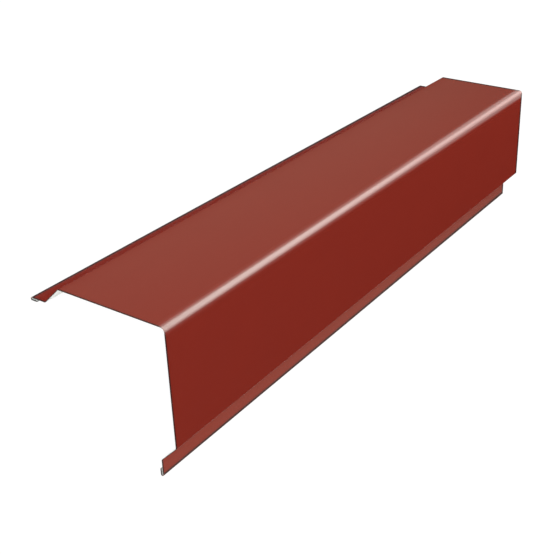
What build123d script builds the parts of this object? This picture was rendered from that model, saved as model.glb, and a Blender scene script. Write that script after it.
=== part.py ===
from build123d import *
import os
from math import cos, radians, sin, tan

# Side flashing for the edge of a roof: one strip of colour-coated steel sheet bent along its
# whole length. Two equal wings meet at the ridge bend, one for the roof and one for the barge
# board. Each wing ends in a step inwards, a narrow strip and an open hem. It lies with the
# ridge up, on its two hem folds. Lengths are in mm and angles in degrees.

# Sheet and length
sheet_thickness = 0.6
flashing_length = 1000.0

# Widths on the coated side, between the sharp lines where the flat parts would meet
wing_width = 156.0
step_width = 33.3
strip_width = 23.4

# Angle between the two wings, and the turn of each step away from its wing
wing_angle = 92.3
step_turn = 45.0

# Bend radii on the inner side of each bend, and the length of the hem's turned-back leaf
ridge_radius = 5.4
step_radius = 1.8
hem_radius = 1.4
hem_leaf = 8.0

# Slope of the wings and strips, and of the steps, below level
wing_slope = (180.0 - wing_angle) / 2
step_slope = wing_slope + step_turn

# Radii on the coated side: the ridge, the shoulder of the step and the hem bulge outwards,
# and the foot of the step is hollow there
ridge_outer = ridge_radius + sheet_thickness
shoulder_outer = step_radius + sheet_thickness
foot_outer = step_radius
hem_outer = hem_radius + sheet_thickness

# Length that each bend takes from the flat parts beside it
ridge_setback = ridge_outer * tan(radians(wing_slope))
shoulder_setback = shoulder_outer * tan(radians(step_turn / 2))
foot_setback = foot_outer * tan(radians(step_turn / 2))

# Flat lengths left between the bends, with the hem fold inside the strip's width
wing_flat = wing_width - ridge_setback - shoulder_setback
step_flat = step_width - shoulder_setback - foot_setback
strip_flat = strip_width - foot_setback - hem_outer

# Height of the ridge's sharp line over the ground, down the wing, step and strip to the centre
# of the hem fold and on to its lowest point
wing_drop = (wing_width + strip_width - hem_outer) * sin(radians(wing_slope))
step_drop = step_width * sin(radians(step_slope))
hem_drop = hem_outer * cos(radians(wing_slope)) + hem_outer
ridge_line = wing_drop + step_drop + hem_drop

# Top of the rounded ridge
ridge_top = ridge_line - ridge_outer * (1 / cos(radians(wing_slope)) - 1)

with BuildPart() as side_flashing:
    with BuildSketch(Plane.XZ) as section:
        with BuildLine() as sheet_line:
            # Coated side of one half, from the middle of the ridge down to the hem's leaf
            ridge = JernArc((0, ridge_top), (1, 0), ridge_outer, -wing_slope)
            wing = PolarLine(ridge @ 1, wing_flat, direction=ridge % 1)
            shoulder = JernArc(wing @ 1, wing % 1, shoulder_outer, -step_turn)
            step = PolarLine(shoulder @ 1, step_flat, direction=shoulder % 1)
            foot = JernArc(step @ 1, step % 1, foot_outer, step_turn)
            strip = PolarLine(foot @ 1, strip_flat, direction=foot % 1)
            hem_fold = JernArc(strip @ 1, strip % 1, hem_outer, -180)
            leaf = PolarLine(hem_fold @ 1, hem_leaf, direction=hem_fold % 1)
            # Inner side, one sheet thickness in, closed at the ridge and at the leaf's cut edge
            offset(amount=sheet_thickness, side=Side.RIGHT)
        make_face()
        # The other half is the same sheet turned the other way
        mirror(about=Plane.YZ)
    extrude(amount=flashing_length / 2, both=True)

side_flashing.part.label = "side_flashing"

os.makedirs("parts", exist_ok=True)
export_step(side_flashing.part, "parts/side_flashing.step")
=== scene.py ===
"""Looks, light and camera of the side flashing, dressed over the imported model.

The flashing is one strip of colour-coated steel sheet, folded along its whole length. One Geometry
Nodes tree makes its mesh: it rounds the fold lines of the section, sweeps them along the length and
gives the sheet its thickness, its back and its cut edges.
"""

import logging
import math
from dataclasses import dataclass, field
from enum import Enum

import bpy
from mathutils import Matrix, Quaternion, Vector


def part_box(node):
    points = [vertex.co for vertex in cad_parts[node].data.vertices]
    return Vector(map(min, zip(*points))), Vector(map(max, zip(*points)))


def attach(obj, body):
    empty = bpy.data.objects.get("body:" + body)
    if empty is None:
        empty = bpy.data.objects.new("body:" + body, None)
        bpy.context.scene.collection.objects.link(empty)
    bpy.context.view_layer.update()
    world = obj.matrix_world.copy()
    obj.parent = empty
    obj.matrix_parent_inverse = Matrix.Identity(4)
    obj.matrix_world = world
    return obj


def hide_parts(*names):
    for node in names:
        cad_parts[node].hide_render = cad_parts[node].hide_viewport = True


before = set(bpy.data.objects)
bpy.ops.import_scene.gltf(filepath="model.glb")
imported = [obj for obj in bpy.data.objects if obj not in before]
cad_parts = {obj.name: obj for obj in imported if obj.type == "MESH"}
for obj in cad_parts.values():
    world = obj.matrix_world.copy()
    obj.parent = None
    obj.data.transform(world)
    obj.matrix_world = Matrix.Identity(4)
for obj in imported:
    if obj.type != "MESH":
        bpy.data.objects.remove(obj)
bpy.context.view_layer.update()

log = logging.getLogger("side_flashing")

MM = 0.001

# Sockets of a Mix node that mixes colours: the two colours it is given, and its result
COLOUR_A, COLOUR_B, MIXED = 6, 7, 2


class FoldAttribute(Enum):
    """Names of the attributes that tell the folding tree how each fold line is bent."""

    RADIUS = "bend_radius"
    FACETS = "bend_facets"


class SheetInput(Enum):
    """Named inputs of the folding tree, with the socket type of each."""

    LENGTH = ("Length", "NodeSocketFloat")
    THICKNESS = ("Sheet thickness", "NodeSocketFloat")
    STATIONS = ("Stations along the length", "NodeSocketInt")
    WIDEST_FACET = ("Widest facet of a bend", "NodeSocketFloat")
    TOPCOAT = ("Topcoat", "NodeSocketMaterial")
    BACK_COAT = ("Back coat", "NodeSocketMaterial")
    CUT_EDGE = ("Cut edge", "NodeSocketMaterial")


def linear_colour(code: str) -> tuple[float, float, float, float]:
    """Turn an sRGB hex colour into the linear colour that the shaders use.

    Args:
        code: The colour as "#rrggbb".

    Returns:
        Linear red, green and blue, and an alpha of 1.
    """
    shares = [int(code[place:place + 2], 16) / 255 for place in (1, 3, 5)]
    red, green, blue = (s / 12.92 if s <= 0.04045 else ((s + 0.055) / 1.055) ** 2.4 for s in shares)
    return red, green, blue, 1.0


def add_node(tree: bpy.types.NodeTree, kind: str, settings: dict[str, object] | None = None,
             inputs: dict[str | int, object] | None = None) -> bpy.types.Node:
    """Add a node to a tree, with its settings and its inputs.

    Args:
        tree: The shader or geometry tree.
        kind: Blender's name for the kind of node.
        settings: Properties of the node.
        inputs: For each input, by name or number, a value to set or a socket to link from.

    Returns:
        The new node.
    """
    node = tree.nodes.new(kind)
    for name, value in (settings or {}).items():
        setattr(node, name, value)
    for key, value in (inputs or {}).items():
        if isinstance(value, bpy.types.NodeSocket):
            tree.links.new(value, node.inputs[key])
        else:
            node.inputs[key].default_value = value
    return node


def new_material(name: str) -> tuple[bpy.types.Material, bpy.types.NodeTree]:
    """Start a node material with an empty tree.

    Args:
        name: The material's name.

    Returns:
        The material and its tree.
    """
    material = bpy.data.materials.new(name)
    material.use_nodes = True
    material.node_tree.nodes.clear()
    return material, material.node_tree


@dataclass(frozen=True)
class PolyesterTopcoat:
    """Satin polyester paint, roller-coated on to the coil before it was folded.

    It gives an even brick red with a soft sheen. Up close there is a faint cloudiness, the streaks
    that the coating rollers leave along the strip, and a fine orange peel. Over the ridge the paint is
    polished and shows a broad gleam, to which a painted highlight adds a paler tone that changes from
    the near end to the far end. Painted shade darkens it in dark lines along the hem folds and the cut
    ends, wider at the far end, where it is also duller.
    """

    colour: str = "#86291d"
    cloudy: str = "#82271c"
    # Painted shade for the dark lines along the hem folds and cut ends
    painted_edge_shade: str = "#38100c"
    # Painted highlight over the ridge, a paler tone for part of the gleam, at the near end and at the far
    # end
    painted_ridge_highlight: tuple[str, str] = ("#763931", "#963931")
    cloud_mm: float = 55.0
    streak_width_mm: float = 3.0
    streak_length_mm: float = 400.0
    # How much of the mottling is streaks, and the part of its range over which the gloss changes
    streak_share: float = 0.35
    mottle_range: tuple[float, float] = (0.3, 0.7)
    # Real orange peel is about 0.5 mm across; it is drawn coarser so that it shows
    peel_mm: float = 2.2
    peel_height_mm: float = 0.002
    ridge_band_mm: float = 6.5
    # The brake leaves a soft crown, wider than the bend itself, which broadens the gleam on the ridge:
    # its half width at the near end and at the far end, and its depth as a share of that
    crown_mm: tuple[float, float] = (8.2, 10.8)
    crown_depth: float = 0.275
    # Painted shade: dark lines along the hem folds and cut ends, at the near end and at the far end,
    # wider at the far end: dark as far in as the line, then fading out over the band
    fold_line_mm: tuple[float, float] = (1.6, 2.6)
    fold_band_mm: tuple[float, float] = (3.2, 5.2)
    shear_line_mm: tuple[float, float] = (0.5, 4.0)
    shear_band_mm: tuple[float, float] = (2.8, 7.5)
    roughness: tuple[float, float] = (0.22, 0.26)
    stretched_roughness: float = 0.35
    strained_roughness: float = 0.5
    specular_level: float = 0.3
    # The brake's tools polish the resin over the ridge, as far out as this share of the crown
    polish_share: float = 1.4
    polish_roughness: float = 0.32
    polish_ior: float = 1.6

    def mottle(self, tree: bpy.types.NodeTree, place: bpy.types.NodeSocket) -> bpy.types.NodeSocket:
        """Mix the paint's cloudiness with the streaks that the rollers left along the strip.

        Args:
            tree: The material's node tree.
            place: Place on the sheet, in metres.

        Returns:
            The socket with the mottling, from 0 to 1.
        """
        clouds = add_node(tree, "ShaderNodeTexNoise", None,
                          {"Vector": place, "Scale": 1 / (self.cloud_mm * MM), "Detail": 3.0})
        drawn_out = add_node(tree, "ShaderNodeMapping", None, {
            "Vector": place, "Scale": (1.0, self.streak_width_mm / self.streak_length_mm, 1.0)})
        streaks = add_node(tree, "ShaderNodeTexNoise", None, {
            "Vector": drawn_out.outputs[0], "Scale": 1 / (self.streak_width_mm * MM), "Detail": 1.0})
        mixed = add_node(tree, "ShaderNodeMix", None, {
            "Factor": self.streak_share, "A": clouds.outputs["Fac"], "B": streaks.outputs["Fac"]})
        return mixed.outputs["Result"]

    def edge_shade_and_dulling(self, tree: bpy.types.NodeTree, inward: bpy.types.NodeSocket, along: bpy.types.NodeSocket,
               line: tuple[float, float], band: tuple[float, float]) -> bpy.types.NodeSocket:
        """Work out how far in from an edge the painted shade of a dark line reaches; the same mask dulls
        the gloss.

        Args:
            tree: The material's node tree.
            inward: Distance in from the edge, in metres.
            along: Place along the length, from 0 at the near end to 1 at the far end.
            line: Distance that is fully dark with painted shade at the near and the far end, in mm.
            band: Distance at which the painted shade has faded out at the near and the far end, in mm.

        Returns:
            The socket with the painted edge shade, from 0 to 1.
        """
        none, full = (add_node(tree, "ShaderNodeMapRange", None, {
            "Value": along, "To Min": near * MM, "To Max": far * MM}) for near, far in (band, line))
        fade = add_node(tree, "ShaderNodeMapRange", {"interpolation_type": "SMOOTHSTEP"}, {
            "Value": inward, "From Min": none.outputs[0], "From Max": full.outputs[0]})
        return fade.outputs[0]

    def tone(self, tree: bpy.types.NodeTree, mottle: bpy.types.NodeSocket, ridge: bpy.types.NodeSocket,
             along: bpy.types.NodeSocket, edge_shade_and_dulling: bpy.types.NodeSocket) -> bpy.types.NodeSocket:
        """Colour the paint: mottled, with a painted highlight over the ridge and painted shade along the
        hem folds and cut ends.

        Args:
            tree: The material's node tree.
            mottle: The mottling, from 0 to 1.
            ridge: Nearness to the ridge, from 0 to 1.
            along: Place along the length, from 0 at the near end to 1 at the far end.
            edge_shade_and_dulling: The painted shade at the hem folds and cut ends, from 0 to 1.

        Returns:
            The socket with the colour.
        """
        paint = add_node(tree, "ShaderNodeMix", {"data_type": "RGBA"}, {
            "Factor": mottle, COLOUR_A: linear_colour(self.colour), COLOUR_B: linear_colour(self.cloudy)})
        # Painted highlight: a paler tone over the ridge, changing from the near end to the far end
        near, far = (linear_colour(code) for code in self.painted_ridge_highlight)
        painted_ridge_highlight = add_node(tree, "ShaderNodeMix", {"data_type": "RGBA"}, {
            "Factor": along, COLOUR_A: near, COLOUR_B: far})
        over_ridge = add_node(tree, "ShaderNodeMix", {"data_type": "RGBA"}, {
            "Factor": ridge, COLOUR_A: paint.outputs[MIXED], COLOUR_B: painted_ridge_highlight.outputs[MIXED]})
        # Painted shade: dark lines along the hem folds and cut ends
        colour = add_node(tree, "ShaderNodeMix", {"data_type": "RGBA"}, {
            "Factor": edge_shade_and_dulling, COLOUR_A: over_ridge.outputs[MIXED],
            COLOUR_B: linear_colour(self.painted_edge_shade)})
        return colour.outputs[MIXED]

    def gloss(self, tree: bpy.types.NodeTree, mottle: bpy.types.NodeSocket, ridge: bpy.types.NodeSocket,
              edge_shade_and_dulling: bpy.types.NodeSocket) -> bpy.types.NodeSocket:
        """Set how rough the paint is: satin, and duller over the ridge and under the painted edge shade.

        Args:
            tree: The material's node tree.
            mottle: The mottling, from 0 to 1.
            ridge: Nearness to the ridge, from 0 to 1.
            edge_shade_and_dulling: The painted shade at the hem folds and cut ends, which dulls the gloss
                there, from 0 to 1.

        Returns:
            The socket with the roughness.
        """
        least, most = self.mottle_range
        smooth, dull = self.roughness
        sheen = add_node(tree, "ShaderNodeMapRange", None, {
            "Value": mottle, "From Min": least, "From Max": most, "To Min": smooth, "To Max": dull})
        crazed = add_node(tree, "ShaderNodeMix", None, {
            "Factor": ridge, "A": sheen.outputs[0], "B": self.stretched_roughness})
        roughness = add_node(tree, "ShaderNodeMix", None, {
            "Factor": edge_shade_and_dulling, "A": crazed.outputs["Result"], "B": self.strained_roughness})
        return roughness.outputs["Result"]

    def relief(self, tree: bpy.types.NodeTree, place: bpy.types.NodeSocket,
               outward: bpy.types.NodeSocket, reach: bpy.types.NodeSocket) -> bpy.types.NodeSocket:
        """Shape the orange peel and the soft crown over the ridge.

        Args:
            tree: The material's node tree.
            place: Place on the sheet, in metres.
            outward: Distance out from the ridge, in metres.
            reach: Half width of the crown, in metres.

        Returns:
            The socket with the normal.
        """
        peel = add_node(tree, "ShaderNodeTexNoise", None, {
            "Vector": place, "Scale": 1 / (self.peel_mm * MM), "Detail": 1.0})
        bump = add_node(tree, "ShaderNodeBump", None, {
            "Distance": self.peel_height_mm * MM, "Height": peel.outputs["Fac"]})
        crown = add_node(tree, "ShaderNodeMapRange", {"interpolation_type": "SMOOTHSTEP"}, {
            "Value": outward, "From Min": 0.0, "From Max": reach})
        height = add_node(tree, "ShaderNodeMath", {"operation": "MULTIPLY"}, {
            0: crown.outputs[0], 1: reach})
        crowned = add_node(tree, "ShaderNodeBump", None, {
            "Distance": self.crown_depth, "Height": height.outputs[0], "Normal": bump.outputs[0]})
        return crowned.outputs[0]

    def material(self, half_width: float, half_length: float) -> bpy.types.Material:
        """Build the paint's material.

        Args:
            half_width: Distance from the ridge to the outermost point of the hem folds, in metres.
            half_length: Distance from the middle to the cut ends, in metres.

        Returns:
            The material.
        """
        material, tree = new_material("polyester_topcoat")
        place = add_node(tree, "ShaderNodeTexCoord").outputs["Object"]
        axes = add_node(tree, "ShaderNodeSeparateXYZ", None, {0: place}).outputs
        outward, endward = (add_node(tree, "ShaderNodeMath", {"operation": "ABSOLUTE"}, {
            0: axes[name]}).outputs[0] for name in ("X", "Y"))
        ridge = add_node(tree, "ShaderNodeMapRange", {"interpolation_type": "SMOOTHSTEP"}, {
            "Value": outward, "From Min": self.ridge_band_mm * MM, "From Max": 0.0}).outputs[0]
        along = add_node(tree, "ShaderNodeMapRange", None, {
            "Value": axes["Y"], "From Min": -half_length, "From Max": half_length}).outputs[0]

        from_fold, from_end = (add_node(tree, "ShaderNodeMath", {"operation": "SUBTRACT"}, {
            0: edge, 1: reached}).outputs[0]
            for edge, reached in ((half_width, outward), (half_length, endward)))
        # Painted shade: dark lines along the hem folds and the cut ends, which also dull the gloss
        folded = self.edge_shade_and_dulling(tree, from_fold, along, self.fold_line_mm, self.fold_band_mm)
        cut_end_shade = self.edge_shade_and_dulling(tree, from_end, along, self.shear_line_mm, self.shear_band_mm)
        # The painted shade at the cut ends stops short of the ridge, so the ridge's gleam and painted
        # highlight run out to the cut ends
        cut_end_shade_off_ridge = add_node(tree, "ShaderNodeMath", {"operation": "SUBTRACT", "use_clamp": True}, {
            0: cut_end_shade, 1: ridge})
        edge_shade_and_dulling = add_node(tree, "ShaderNodeMath", {"operation": "MAXIMUM"}, {
            0: folded, 1: cut_end_shade_off_ridge.outputs[0]}).outputs[0]

        near, far = self.crown_mm
        reach = add_node(tree, "ShaderNodeMapRange", None, {
            "Value": along, "To Min": near * MM, "To Max": far * MM}).outputs[0]
        rubbed = add_node(tree, "ShaderNodeMath", {"operation": "MULTIPLY"}, {
            0: reach, 1: self.polish_share})
        polish = add_node(tree, "ShaderNodeMapRange", {"interpolation_type": "SMOOTHSTEP"}, {
            "Value": outward, "From Min": rubbed.outputs[0], "From Max": 0.0})

        mottle = self.mottle(tree, place)
        relief = self.relief(tree, place, outward, reach)
        shader = add_node(tree, "ShaderNodeBsdfPrincipled", None, {
            "Base Color": self.tone(tree, mottle, ridge, along, edge_shade_and_dulling),
            "Roughness": self.gloss(tree, mottle, ridge, edge_shade_and_dulling),
            "Specular IOR Level": self.specular_level, "Normal": relief,
            "Coat Weight": polish.outputs[0], "Coat Roughness": self.polish_roughness,
            "Coat IOR": self.polish_ior, "Coat Normal": relief})
        add_node(tree, "ShaderNodeOutputMaterial", None, {"Surface": shader.outputs[0]})
        return material


@dataclass(frozen=True)
class EpoxyBackCoat:
    """Thin epoxy primer on the back of the coil, which the roof hides.

    It gives a matt off-white, a little uneven because the coat is only a few microns thick, with
    darker drag lines along the strip and a dark smear from the shear at the cut ends.
    """

    colour: str = "#f3f4f1"
    thin: str = "#e4e7e3"
    sheared: str = "#2b2422"
    cloud_mm: float = 30.0
    drag_width_mm: float = 1.5
    drag_length_mm: float = 250.0
    drag_height_mm: float = 0.004
    # How much of the unevenness is drag lines, and the part of its range over which the coat thins
    drag_share: float = 0.5
    uneven_range: tuple[float, float] = (0.35, 0.65)
    shear_band_mm: float = 1.6
    shear_line_mm: float = 0.8
    roughness: tuple[float, float] = (0.5, 0.62)
    specular_level: float = 0.3

    def material(self, half_length: float) -> bpy.types.Material:
        """Build the primer's material.

        Args:
            half_length: Distance from the middle to the cut ends, in metres.

        Returns:
            The material.
        """
        material, tree = new_material("epoxy_back_coat")
        place = add_node(tree, "ShaderNodeTexCoord").outputs["Object"]
        clouds = add_node(tree, "ShaderNodeTexNoise", None,
                          {"Vector": place, "Scale": 1 / (self.cloud_mm * MM), "Detail": 4.0})
        drawn_out = add_node(tree, "ShaderNodeMapping", None, {
            "Vector": place, "Scale": (1.0, self.drag_width_mm / self.drag_length_mm, 1.0)})
        drag = add_node(tree, "ShaderNodeTexNoise", None, {
            "Vector": drawn_out.outputs[0], "Scale": 1 / (self.drag_width_mm * MM), "Detail": 2.0})
        uneven = add_node(tree, "ShaderNodeMix", None, {
            "Factor": self.drag_share, "A": clouds.outputs["Fac"], "B": drag.outputs["Fac"]})
        least, most = self.uneven_range
        thinness = add_node(tree, "ShaderNodeMapRange", None, {
            "Value": uneven.outputs["Result"], "From Min": least, "From Max": most})
        primer = add_node(tree, "ShaderNodeMix", {"data_type": "RGBA"}, {
            "Factor": thinness.outputs[0], COLOUR_A: linear_colour(self.colour),
            COLOUR_B: linear_colour(self.thin)})
        axes = add_node(tree, "ShaderNodeSeparateXYZ", None, {0: place})
        endward = add_node(tree, "ShaderNodeMath", {"operation": "ABSOLUTE"}, {0: axes.outputs["Y"]})
        shear = add_node(tree, "ShaderNodeMapRange", {"interpolation_type": "SMOOTHSTEP"}, {
            "Value": endward.outputs[0], "From Min": half_length - self.shear_band_mm * MM,
            "From Max": half_length - self.shear_line_mm * MM})
        colour = add_node(tree, "ShaderNodeMix", {"data_type": "RGBA"}, {
            "Factor": shear.outputs[0], COLOUR_A: primer.outputs[MIXED],
            COLOUR_B: linear_colour(self.sheared)})
        smooth, dull = self.roughness
        roughness = add_node(tree, "ShaderNodeMapRange", None, {
            "Value": thinness.outputs[0], "To Min": smooth, "To Max": dull})
        bump = add_node(tree, "ShaderNodeBump", None, {
            "Distance": self.drag_height_mm * MM, "Height": drag.outputs["Fac"]})
        shader = add_node(tree, "ShaderNodeBsdfPrincipled", None, {
            "Base Color": colour.outputs[MIXED], "Roughness": roughness.outputs[0],
            "Specular IOR Level": self.specular_level, "Normal": bump.outputs[0]})
        add_node(tree, "ShaderNodeOutputMaterial", None, {"Surface": shader.outputs[0]})
        return material


@dataclass(frozen=True)
class ShearedEdge:
    """Bare edge of the galvanised sheet where the shear cut it, smeared with zinc and paint.

    It gives a dull dark line round the cut ends, flecked and torn where the cut broke through the
    zinc; the dark of the line is painted shade, an outline round the ends. Over the ridge and round
    the hem folds it is pale, a painted highlight where the gleam of the bends meets the cut ends.
    """

    # The dark of the edge is painted shade, an outline round the cut ends; the flecks vary at random
    colour: str = "#2e2320"
    fleck: str = "#4d4541"
    # Painted highlight over the ridge and round the hem folds
    painted_gleam: str = "#c8b4ac"
    ridge_bright_mm: float = 5.0
    hem_bright_mm: float = 3.0
    fleck_mm: float = 1.6
    # Part of the noise's range over which the smear turns to clean flecks
    fleck_range: tuple[float, float] = (0.5, 0.7)
    tear_height_mm: float = 0.03
    roughness: tuple[float, float] = (0.65, 0.5)
    specular_level: float = 0.3

    def material(self, half_width: float) -> bpy.types.Material:
        """Build the cut edge's material.

        Args:
            half_width: Distance from the ridge to the outermost point of the hem folds, in metres.

        Returns:
            The material.
        """
        material, tree = new_material("sheared_zinc_edge")
        place = add_node(tree, "ShaderNodeTexCoord").outputs["Object"]
        axes = add_node(tree, "ShaderNodeSeparateXYZ", None, {0: place})
        flecks = add_node(tree, "ShaderNodeTexNoise", None,
                          {"Vector": place, "Scale": 1 / (self.fleck_mm * MM), "Detail": 2.0})
        least, most = self.fleck_range
        cleanness = add_node(tree, "ShaderNodeMapRange", None, {
            "Value": flecks.outputs["Fac"], "From Min": least, "From Max": most})
        # Painted shade: the dark outline round the cut ends, flecked at random
        smeared = add_node(tree, "ShaderNodeMix", {"data_type": "RGBA"}, {
            "Factor": cleanness.outputs[0], COLOUR_A: linear_colour(self.colour),
            COLOUR_B: linear_colour(self.fleck)})
        outward = add_node(tree, "ShaderNodeMath", {"operation": "ABSOLUTE"}, {0: axes.outputs["X"]})
        ridge = add_node(tree, "ShaderNodeMapRange", {"interpolation_type": "SMOOTHSTEP"}, {
            "Value": outward.outputs[0], "From Min": self.ridge_bright_mm * MM, "From Max": 0.0})
        hem = add_node(tree, "ShaderNodeMapRange", {"interpolation_type": "SMOOTHSTEP"}, {
            "Value": outward.outputs[0], "From Min": half_width - self.hem_bright_mm * MM,
            "From Max": half_width})
        # Painted highlight over the ridge and round the hem folds
        painted_gleam_mask = add_node(tree, "ShaderNodeMath", {"operation": "MAXIMUM"}, {
            0: ridge.outputs[0], 1: hem.outputs[0]})
        colour = add_node(tree, "ShaderNodeMix", {"data_type": "RGBA"}, {
            "Factor": painted_gleam_mask.outputs[0], COLOUR_A: smeared.outputs[MIXED],
            COLOUR_B: linear_colour(self.painted_gleam)})
        dull, clean = self.roughness
        roughness = add_node(tree, "ShaderNodeMapRange", None, {
            "Value": cleanness.outputs[0], "To Min": dull, "To Max": clean})
        tears = add_node(tree, "ShaderNodeBump", None, {
            "Distance": self.tear_height_mm * MM, "Height": flecks.outputs["Fac"]})
        shader = add_node(tree, "ShaderNodeBsdfPrincipled", None, {
            "Base Color": colour.outputs[MIXED], "Roughness": roughness.outputs[0],
            "Specular IOR Level": self.specular_level, "Normal": tears.outputs[0]})
        add_node(tree, "ShaderNodeOutputMaterial", None, {"Surface": shader.outputs[0]})
        return material


@dataclass(frozen=True)
class FoldLine:
    """One corner of the section on the coated side, in mm: its place, bend radius and facets."""

    x: float
    z: float
    radius: float = 0.0
    facets: int = 1


@dataclass(frozen=True)
class FoldedSection:
    """Sizes of the folded section on its coated side, in mm and degrees."""

    sheet_thickness: float = 0.6
    wing_width: float = 156.0
    step_width: float = 33.3
    strip_width: float = 23.4
    wing_angle: float = 92.3
    step_turn: float = 45.0
    ridge_radius: float = 6.0
    shoulder_radius: float = 2.4
    foot_radius: float = 1.8
    hem_radius: float = 2.0
    hem_leaf: float = 8.0
    ridge_facets: int = 32
    step_facets: int = 10
    hem_facets: int = 12

    def fold_lines(self) -> list[FoldLine]:
        """Place the fold lines from the roof side's leaf, over the ridge, to the board side's leaf.

        Returns:
            The corners of the coated side, lowest point of the hem folds at a height of 0.
        """
        slope = math.radians((180.0 - self.wing_angle) / 2)
        steep = slope + math.radians(self.step_turn)
        down_wing = Vector((math.cos(slope), -math.sin(slope)))
        down_step = Vector((math.cos(steep), -math.sin(steep)))
        round_hem = Vector((-math.sin(slope), -math.cos(slope))) * 2 * self.hem_radius

        shoulder = down_wing * self.wing_width
        foot = shoulder + down_step * self.step_width
        hem = foot + down_wing * self.strip_width
        turned = hem + round_hem
        leaf_end = turned - down_wing * (self.hem_radius + self.hem_leaf)
        hem_centre = hem + round_hem / 2 - down_wing * self.hem_radius
        ridge_height = self.hem_radius - hem_centre.y

        half = [
            FoldLine(shoulder.x, shoulder.y + ridge_height, self.shoulder_radius, self.step_facets),
            FoldLine(foot.x, foot.y + ridge_height, self.foot_radius, self.step_facets),
            FoldLine(hem.x, hem.y + ridge_height, self.hem_radius, self.hem_facets),
            FoldLine(turned.x, turned.y + ridge_height, self.hem_radius, self.hem_facets),
            FoldLine(leaf_end.x, leaf_end.y + ridge_height),
        ]
        ridge = FoldLine(0.0, ridge_height, self.ridge_radius, self.ridge_facets)
        roof_side = [FoldLine(-line.x, line.z, line.radius, line.facets) for line in reversed(half)]
        return [*roof_side, ridge, *half]


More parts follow.
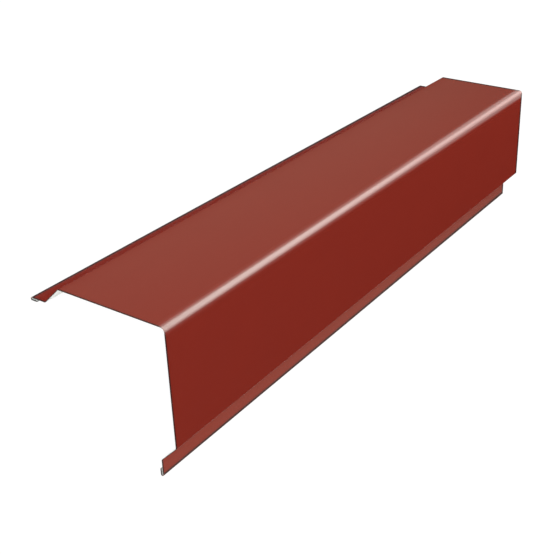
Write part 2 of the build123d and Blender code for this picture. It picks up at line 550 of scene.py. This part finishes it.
@dataclass
class FlashingSheet:
    """The whole flashing: one folded sheet with its topcoat, back coat and cut edges."""

    section: FoldedSection = field(default_factory=FoldedSection)
    topcoat: PolyesterTopcoat = field(default_factory=PolyesterTopcoat)
    back_coat: EpoxyBackCoat = field(default_factory=EpoxyBackCoat)
    cut_edge: ShearedEdge = field(default_factory=ShearedEdge)
    stations: int = 21
    widest_facet_mm: float = 1.0
    weld_mm: float = 0.001
    sharp_angle: float = 30.0

    def section_mesh(self) -> bpy.types.Mesh:
        """Draw the fold lines as an open chain of edges, with each bend's radius and facets.

        Returns:
            The chain, in metres, in the plane across the flashing.
        """
        lines = self.section.fold_lines()
        mesh = bpy.data.meshes.new("fold_lines")
        points = [(line.x * MM, 0.0, line.z * MM) for line in lines]
        mesh.from_pydata(points, [(place, place + 1) for place in range(len(lines) - 1)], [])
        radius = mesh.attributes.new(FoldAttribute.RADIUS.value, "FLOAT", "POINT")
        radius.data.foreach_set("value", [line.radius * MM for line in lines])
        facets = mesh.attributes.new(FoldAttribute.FACETS.value, "INT", "POINT")
        facets.data.foreach_set("value", [line.facets for line in lines])
        return mesh

    def bend_section(self, tree: bpy.types.NodeTree, chain: bpy.types.NodeSocket) -> bpy.types.NodeSocket:
        """Lay the section in the plane that a sweep takes its profile from, and round its bends.

        Args:
            tree: The folding tree.
            chain: The chain of fold lines.

        Returns:
            The socket with the rounded section, a curve.
        """
        laid = add_node(tree, "GeometryNodeTransform", None, {
            "Geometry": chain, "Rotation": (math.radians(90), 0.0, 0.0)})
        curve = add_node(tree, "GeometryNodeMeshToCurve", None, {"Mesh": laid.outputs[0]})
        radius = add_node(tree, "GeometryNodeInputNamedAttribute", {"data_type": "FLOAT"},
                          {"Name": FoldAttribute.RADIUS.value})
        facets = add_node(tree, "GeometryNodeInputNamedAttribute", {"data_type": "INT"},
                          {"Name": FoldAttribute.FACETS.value})
        bent = add_node(tree, "GeometryNodeFilletCurve", {"mode": "POLY"}, {
            "Curve": curve.outputs[0], "Count": facets.outputs[0], "Radius": radius.outputs[0],
            "Limit Radius": True})
        return bent.outputs[0]

    def sweep(self, tree: bpy.types.NodeTree, section: bpy.types.NodeSocket,
              length: bpy.types.NodeSocket, stations: bpy.types.NodeSocket) -> bpy.types.NodeSocket:
        """Sweep the section along the flashing, from one cut end to the other.

        Args:
            tree: The folding tree.
            section: The rounded section.
            length: Length of the flashing, in metres.
            stations: Number of sections along the length.

        Returns:
            The socket with the coated side of the sheet.
        """
        half = add_node(tree, "ShaderNodeMath", {"operation": "MULTIPLY"}, {0: length, 1: 0.5})
        back = add_node(tree, "ShaderNodeMath", {"operation": "MULTIPLY"}, {0: length, 1: -0.5})
        start = add_node(tree, "ShaderNodeCombineXYZ", None, {"Y": back.outputs[0]})
        end = add_node(tree, "ShaderNodeCombineXYZ", None, {"Y": half.outputs[0]})
        line = add_node(tree, "GeometryNodeCurvePrimitiveLine", None,
                        {"Start": start.outputs[0], "End": end.outputs[0]})
        stepped = add_node(tree, "GeometryNodeResampleCurve", None,
                           {"Curve": line.outputs[0], "Count": stations})
        upright = add_node(tree, "GeometryNodeSetCurveNormal", {"mode": "Z_UP"},
                           {"Curve": stepped.outputs[0]})
        swept = add_node(tree, "GeometryNodeCurveToMesh", None, {
            "Curve": upright.outputs[0], "Profile Curve": section})
        skin = add_node(tree, "GeometryNodeMergeByDistance", None,
                        {"Geometry": swept.outputs[0], "Distance": self.weld_mm * MM})
        return skin.outputs[0]

    def shade(self, tree: bpy.types.NodeTree, skin: bpy.types.NodeSocket, length: bpy.types.NodeSocket,
              stations: bpy.types.NodeSocket, widest_facet: bpy.types.NodeSocket) -> bpy.types.NodeSocket:
        """Shade the bends round and the flat parts flat: a bend's facets are the narrow faces.

        Args:
            tree: The folding tree.
            skin: The coated side of the sheet.
            length: Length of the flashing, in metres.
            stations: Number of sections along the length.
            widest_facet: Width below which a face belongs to a bend, in metres.

        Returns:
            The socket with the shaded skin.
        """
        area = add_node(tree, "GeometryNodeInputMeshFaceArea")
        gaps = add_node(tree, "ShaderNodeMath", {"operation": "SUBTRACT"}, {0: stations, 1: 1.0})
        reach = add_node(tree, "ShaderNodeMath", {"operation": "DIVIDE"}, {0: length, 1: gaps.outputs[0]})
        width = add_node(tree, "ShaderNodeMath", {"operation": "DIVIDE"},
                         {0: area.outputs[0], 1: reach.outputs[0]})
        is_bend = add_node(tree, "FunctionNodeCompare", {"data_type": "FLOAT", "operation": "LESS_THAN"},
                           {0: width.outputs[0], 1: widest_facet})
        rounded = add_node(tree, "GeometryNodeSetShadeSmooth", None, {
            "Geometry": skin, "Shade Smooth": is_bend.outputs[0]})
        return rounded.outputs[0]

    def thicken(self, tree: bpy.types.NodeTree, skin: bpy.types.NodeSocket,
                thickness: bpy.types.NodeSocket) -> tuple[bpy.types.NodeSocket, ...]:
        """Set the back one sheet thickness behind the coated side, and join the two by the cut edges.

        Args:
            tree: The folding tree.
            skin: The coated side of the sheet.
            thickness: Thickness of the sheet, in metres.

        Returns:
            The sockets with the closed sheet, the choice of its back and the choice of its cut edges.
        """
        inward = add_node(tree, "ShaderNodeMath", {"operation": "MULTIPLY"}, {0: thickness, 1: -1.0})
        thick = add_node(tree, "GeometryNodeExtrudeMesh", None, {
            "Mesh": skin, "Offset Scale": inward.outputs[0], "Individual": False})
        square = add_node(tree, "GeometryNodeSetShadeSmooth", None, {
            "Geometry": thick.outputs["Mesh"], "Selection": thick.outputs["Side"], "Shade Smooth": False})
        turned = add_node(tree, "GeometryNodeFlipFaces", None, {"Mesh": square.outputs[0]})
        both = add_node(tree, "GeometryNodeJoinGeometry", None, {"Geometry": turned.outputs[0]})
        tree.links.new(skin, both.inputs[0])
        closed = add_node(tree, "GeometryNodeMergeByDistance", None,
                          {"Geometry": both.outputs[0], "Distance": self.weld_mm * MM})
        return closed.outputs[0], thick.outputs["Top"], thick.outputs["Side"]

    def folding_tree(self) -> bpy.types.NodeTree:
        """Build the tree that folds the section's bends, sweeps them, thickens the sheet and coats it.

        Returns:
            The Geometry Nodes tree, with one named input for each member of SheetInput.
        """
        tree = bpy.data.node_groups.new("folded_sheet", "GeometryNodeTree")
        tree.interface.new_socket("Geometry", in_out="INPUT", socket_type="NodeSocketGeometry")
        for member in SheetInput:
            name, kind = member.value
            tree.interface.new_socket(name, in_out="INPUT", socket_type=kind)
        tree.interface.new_socket("Geometry", in_out="OUTPUT", socket_type="NodeSocketGeometry")
        given = add_node(tree, "NodeGroupInput").outputs
        length, thickness, stations, widest_facet, topcoat, back_coat, cut_edge = (
            given[member.value[0]] for member in SheetInput)

        section = self.bend_section(tree, given["Geometry"])
        swept = self.sweep(tree, section, length, stations)
        skin = self.shade(tree, swept, length, stations, widest_facet)
        result, back, edges = self.thicken(tree, skin, thickness)
        for member in FoldAttribute:
            cleared = add_node(tree, "GeometryNodeRemoveAttribute", None,
                               {"Geometry": result, "Name": member.value})
            result = cleared.outputs[0]

        real = add_node(tree, "GeometryNodeRealizeInstances", None, {"Geometry": result})
        coated = add_node(tree, "GeometryNodeSetMaterial", None,
                          {"Geometry": real.outputs[0], "Material": topcoat})
        primed = add_node(tree, "GeometryNodeSetMaterial", None, {
            "Geometry": coated.outputs[0], "Selection": back, "Material": back_coat})
        edged = add_node(tree, "GeometryNodeSetMaterial", None, {
            "Geometry": primed.outputs[0], "Selection": edges, "Material": cut_edge})
        add_node(tree, "NodeGroupOutput", None, {"Geometry": edged.outputs[0]})
        return tree

    def build(self) -> bpy.types.Object:
        """Make the sheet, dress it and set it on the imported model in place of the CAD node.

        Returns:
            The finished piece.
        """
        low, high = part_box("side_flashing")
        values = {
            SheetInput.LENGTH: high.y - low.y,
            SheetInput.THICKNESS: self.section.sheet_thickness * MM,
            SheetInput.STATIONS: self.stations,
            SheetInput.WIDEST_FACET: self.widest_facet_mm * MM,
            SheetInput.TOPCOAT: self.topcoat.material(high.x, high.y),
            SheetInput.BACK_COAT: self.back_coat.material(high.y),
            SheetInput.CUT_EDGE: self.cut_edge.material(high.x),
        }
        tree = self.folding_tree()
        blank = bpy.data.objects.new("sheet_blank", self.section_mesh())
        bpy.context.scene.collection.objects.link(blank)
        folding = blank.modifiers.new("folding", "NODES")
        folding.node_group = tree
        sockets = {item.name: item.identifier for item in tree.interface.items_tree
                   if item.in_out == "INPUT"}
        for member, value in values.items():
            folding[sockets[member.value[0]]] = value

        folded = blank.evaluated_get(bpy.context.evaluated_depsgraph_get())
        mesh = bpy.data.meshes.new_from_object(folded)
        blank.modifiers.remove(folding)
        bpy.data.objects.remove(blank)
        mesh.name = "flashing_sheet"
        # The sweep leaves an empty material slot before those that the tree sets
        for place in reversed(range(len(mesh.materials))):
            if mesh.materials[place] is None:
                mesh.materials.pop(index=place)
        mesh.set_sharp_from_angle(angle=math.radians(self.sharp_angle))
        sheet = bpy.data.objects.new("flashing_sheet", mesh)
        bpy.context.scene.collection.objects.link(sheet)
        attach(sheet, "root")
        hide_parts("side_flashing")
        return sheet


@dataclass(frozen=True)
class Softbox:
    """A rectangular studio light: where it hangs, where it points, its size, power and spread."""

    name: str
    place: tuple[float, float, float]
    aim: tuple[float, float, float]
    size: tuple[float, float]
    watts: float
    spread: float = 180.0

    def build(self) -> bpy.types.Object:
        """Hang the light.

        Returns:
            The light's object.
        """
        data = bpy.data.lights.new(self.name, "AREA")
        data.shape = "RECTANGLE"
        data.size, data.size_y = self.size
        data.energy = self.watts
        data.spread = math.radians(self.spread)
        lamp = bpy.data.objects.new(self.name, data)
        lamp.location = self.place
        lamp.rotation_mode = "QUATERNION"
        lamp.rotation_quaternion = (Vector(self.aim) - Vector(self.place)).to_track_quat("-Z", "Y")
        lamp.visible_camera = False
        lamp.visible_glossy = False
        bpy.context.scene.collection.objects.link(lamp)
        return lamp


@dataclass(frozen=True)
class ReflectionCard:
    """A flat card that only the coat's reflections see, to place its sheen and not its light.

    Its brightness changes evenly from its near end to its far end along the flashing.
    """

    name: str
    corners: tuple[tuple[float, float, float], ...]
    brightness: tuple[float, float]
    tint: str = "#ffffff"

    def partner(self) -> "ReflectionCard":
        """Make the card for the other end, mirrored along the flashing.

        Returns:
            The partner, which gives views from behind the same sheen.
        """
        near, far = self.brightness
        corners = tuple((x, -y, z) for x, y, z in reversed(self.corners))
        return ReflectionCard(f"{self.name}_behind", corners, (far, near), self.tint)

    def build(self) -> bpy.types.Object:
        """Stand the card up.

        Returns:
            The card's object.
        """
        mesh = bpy.data.meshes.new(self.name)
        mesh.from_pydata(self.corners, [], [tuple(range(len(self.corners)))])
        card = bpy.data.objects.new(self.name, mesh)
        bpy.context.scene.collection.objects.link(card)
        material, tree = new_material(self.name)
        near, far = self.brightness
        lit = add_node(tree, "ShaderNodeEmission", None, {
            "Color": linear_colour(self.tint), "Strength": near})
        if near != far:
            place = add_node(tree, "ShaderNodeTexCoord").outputs["Object"]
            axes = add_node(tree, "ShaderNodeSeparateXYZ", None, {0: place})
            depths = [corner[1] for corner in self.corners]
            glow = add_node(tree, "ShaderNodeMapRange", None, {
                "Value": axes.outputs["Y"], "From Min": min(depths), "From Max": max(depths),
                "To Min": near, "To Max": far})
            tree.links.new(glow.outputs[0], lit.inputs["Strength"])
        add_node(tree, "ShaderNodeOutputMaterial", None, {"Surface": lit.outputs[0]})
        # It lights nothing, so as a sampled light it would only make the real lights grainy
        material.cycles.emission_sampling = "NONE"
        mesh.materials.append(material)
        card.visible_camera = False
        card.visible_diffuse = False
        card.visible_transmission = False
        card.visible_shadow = False
        return card


@dataclass
class Studio:
    """White paper floor, pale room, softboxes and reflection cards, in metres."""

    floor_half: float = 8.0
    # Paper as it lights the flashing, and as it shows: a white glow over a tone that takes the shadow
    paper: str = "#f4f4f4"
    paper_lift: float = 0.94
    paper_shade: str = "#595959"
    # Strength of the room's air as it lights the flashing, and as it shows
    air: str = "#ffffff"
    room: float = 0.55
    backdrop: float = 1.0
    softboxes: tuple[Softbox, ...] = (
        Softbox("roof_side_softbox", (-2.6, 0.4, 2.2), (0.0, 0.0, 0.1), (2.4, 2.4), 36.0),
        Softbox("board_side_softbox", (2.6, -0.4, 2.2), (0.0, 0.0, 0.1), (2.4, 2.4), 17.0),
        Softbox("camera_side_softbox", (0.5, -5.3, 6.4), (0.0, -0.3, 0.1), (2.4, 2.4), 270.0),
        Softbox("under_fill", (0.0, -0.03, 0.004), (0.0, -0.03, 1.0), (0.16, 1.06), 0.28),
        Softbox("board_strip_light", (0.4, 0.0, 0.012), (0.0, 0.0, 0.012), (1.4, 0.016), 0.02, 8.0),
    )
    ridge_cards: tuple[ReflectionCard, ...] = (
        # Fans leaning back behind the flashing, the shape that the ridge mirrors from end to end: a
        # narrow bright one before a wide dim one, for a gleam that fades to both sides
        ReflectionCard("ridge_card", (
            (-0.037, 0.66, 0.196), (0.012, 0.66, 0.196), (-0.2, 2.17, 3.357), (-0.25, 2.45, 3.943),
            (-0.45, 2.75, 4.571), (-1.0, 2.35, 3.734), (-1.0, 2.03, 3.064)), (2.6, 17.8), "#fdfff8"),
        ReflectionCard("ridge_side_card", (
            (-0.092, 0.664, 0.185), (0.066, 0.669, 0.195), (1.4, 1.221, 1.351), (1.15, 1.65, 2.248),
            (0.75, 2.2, 3.4), (-0.4, 2.75, 4.551), (-2.05, 2.05, 3.086), (-2.5, 1.35, 1.62),
            (-2.4, 1.04, 0.972)), (1.4, 8.0), "#fdfff8"),
    )
    side_cards: tuple[ReflectionCard, ...] = (
        # Beside the wings and strips: white where the coat looks veiled, black where it looks deep
        ReflectionCard("roof_wing_card", (
            (-0.145, -0.7, 0.002), (-0.145, 1.6, 0.002),
            (-0.42, 1.6, 0.4), (-0.42, -0.7, 0.4)), (0.7, 0.05), "#ffe6cc"),
        ReflectionCard("board_wing_card", (
            (0.145, -0.7, 0.002), (0.145, 1.6, 0.002),
            (0.45, 1.6, 0.6), (0.45, -0.7, 0.6)), (0.0, 0.35), "#ff5a45"),
        ReflectionCard("roof_strip_flag", (
            (-0.142, -0.6, 0.0), (-0.142, 0.8, 0.0),
            (-0.142, 0.8, 0.045), (-0.142, -0.6, 0.045)), (0.0, 0.0)),
        ReflectionCard("board_strip_card", (
            (0.142, -0.6, 0.0), (0.142, 0.8, 0.0),
            (0.142, 0.8, 0.02), (0.142, -0.6, 0.02)), (0.82, 0.24), "#ffe6cc"),
    )

    def shown(self, tree: bpy.types.NodeTree) -> bpy.types.NodeSocket:
        """Tell the rays that show the background from those that light the flashing.

        Args:
            tree: The node tree of the floor or the room.

        Returns:
            The socket that holds 1 for the camera's rays, reflections and rays through glass.
        """
        path = add_node(tree, "ShaderNodeLightPath").outputs
        seen = add_node(tree, "ShaderNodeMath", {"operation": "MAXIMUM"},
                        {0: path["Is Camera Ray"], 1: path["Is Glossy Ray"]})
        return add_node(tree, "ShaderNodeMath", {"operation": "MAXIMUM"},
                        {0: seen.outputs[0], 1: path["Is Transmission Ray"]}).outputs[0]

    def floor(self) -> bpy.types.Object:
        """Lay the floor, white to the camera and in reflections, and keep the shadow on it.

        Returns:
            The floor.
        """
        half = self.floor_half
        mesh = bpy.data.meshes.new("paper_floor")
        mesh.from_pydata([(-half, -half, 0.0), (half, -half, 0.0), (half, half, 0.0), (-half, half, 0.0)],
                         [], [(0, 1, 2, 3)])
        floor = bpy.data.objects.new("paper_floor", mesh)
        bpy.context.scene.collection.objects.link(floor)

        material, tree = new_material("white_paper")
        plain = add_node(tree, "ShaderNodeBsdfDiffuse", None, {"Color": linear_colour(self.paper)})
        lift = add_node(tree, "ShaderNodeEmission", None, {"Strength": self.paper_lift})
        shade = add_node(tree, "ShaderNodeBsdfDiffuse", None, {"Color": linear_colour(self.paper_shade)})
        white = add_node(tree, "ShaderNodeAddShader", None, {0: lift.outputs[0], 1: shade.outputs[0]})
        surface = add_node(tree, "ShaderNodeMixShader", None, {
            0: self.shown(tree), 1: plain.outputs[0], 2: white.outputs[0]})
        add_node(tree, "ShaderNodeOutputMaterial", None, {"Surface": surface.outputs[0]})
        mesh.materials.append(material)
        return floor

    def build(self) -> None:
        """Lay the floor, light the room, hang the softboxes and stand the cards up."""
        self.floor()
        world = bpy.data.worlds.new("pale_room")
        world.use_nodes = True
        world.node_tree.nodes.clear()
        strength = add_node(world.node_tree, "ShaderNodeMapRange", None, {
            "Value": self.shown(world.node_tree), "To Min": self.room, "To Max": self.backdrop})
        air = add_node(world.node_tree, "ShaderNodeBackground", None,
                       {"Color": linear_colour(self.air), "Strength": strength.outputs[0]})
        add_node(world.node_tree, "ShaderNodeOutputWorld", None, {"Surface": air.outputs[0]})
        bpy.context.scene.world = world
        for softbox in self.softboxes:
            softbox.build()
            log.info("light %s, %g W", softbox.name, softbox.watts)
        partners = (card.partner() for card in self.ridge_cards)
        for card in (*self.ridge_cards, *partners, *self.side_cards):
            card.build()
            log.info("card %s", card.name)


@dataclass(frozen=True)
class PhotoCamera:
    """Camera at the photograph's viewing angle, in mm and degrees, fitted to corners and outlines."""

    eye: tuple[float, float, float] = (64.76, -1178.97, 961.87)
    aim: tuple[float, float, float] = (20.11, -247.01, 99.34)
    roll: float = 51.172
    lens: float = 64.523
    sensor: float = 36.0

    def build(self) -> bpy.types.Object:
        """Set the camera up and make it the scene's.

        Returns:
            The camera's object.
        """
        data = bpy.data.cameras.new("photo_camera")
        data.lens = self.lens
        data.sensor_width = self.sensor
        camera = bpy.data.objects.new("photo_camera", data)
        camera.location = Vector(self.eye) * MM
        level = (Vector(self.aim) - Vector(self.eye)).to_track_quat("-Z", "Y")
        camera.rotation_mode = "QUATERNION"
        camera.rotation_quaternion = level @ Quaternion((0.0, 0.0, 1.0), math.radians(self.roll))
        bpy.context.scene.collection.objects.link(camera)
        bpy.context.scene.camera = camera
        return camera


def main() -> None:
    """Build the flashing, the studio and the camera, and report each piece."""
    logging.basicConfig(level=logging.INFO, format="%(name)s: %(message)s")
    bpy.context.scene.view_settings.view_transform = "Standard"
    sheet = FlashingSheet().build()
    log.info("piece %s, %d faces", sheet.name, len(sheet.data.polygons))
    Studio().build()
    PhotoCamera().build()


if __name__ == "__main__":
    main()
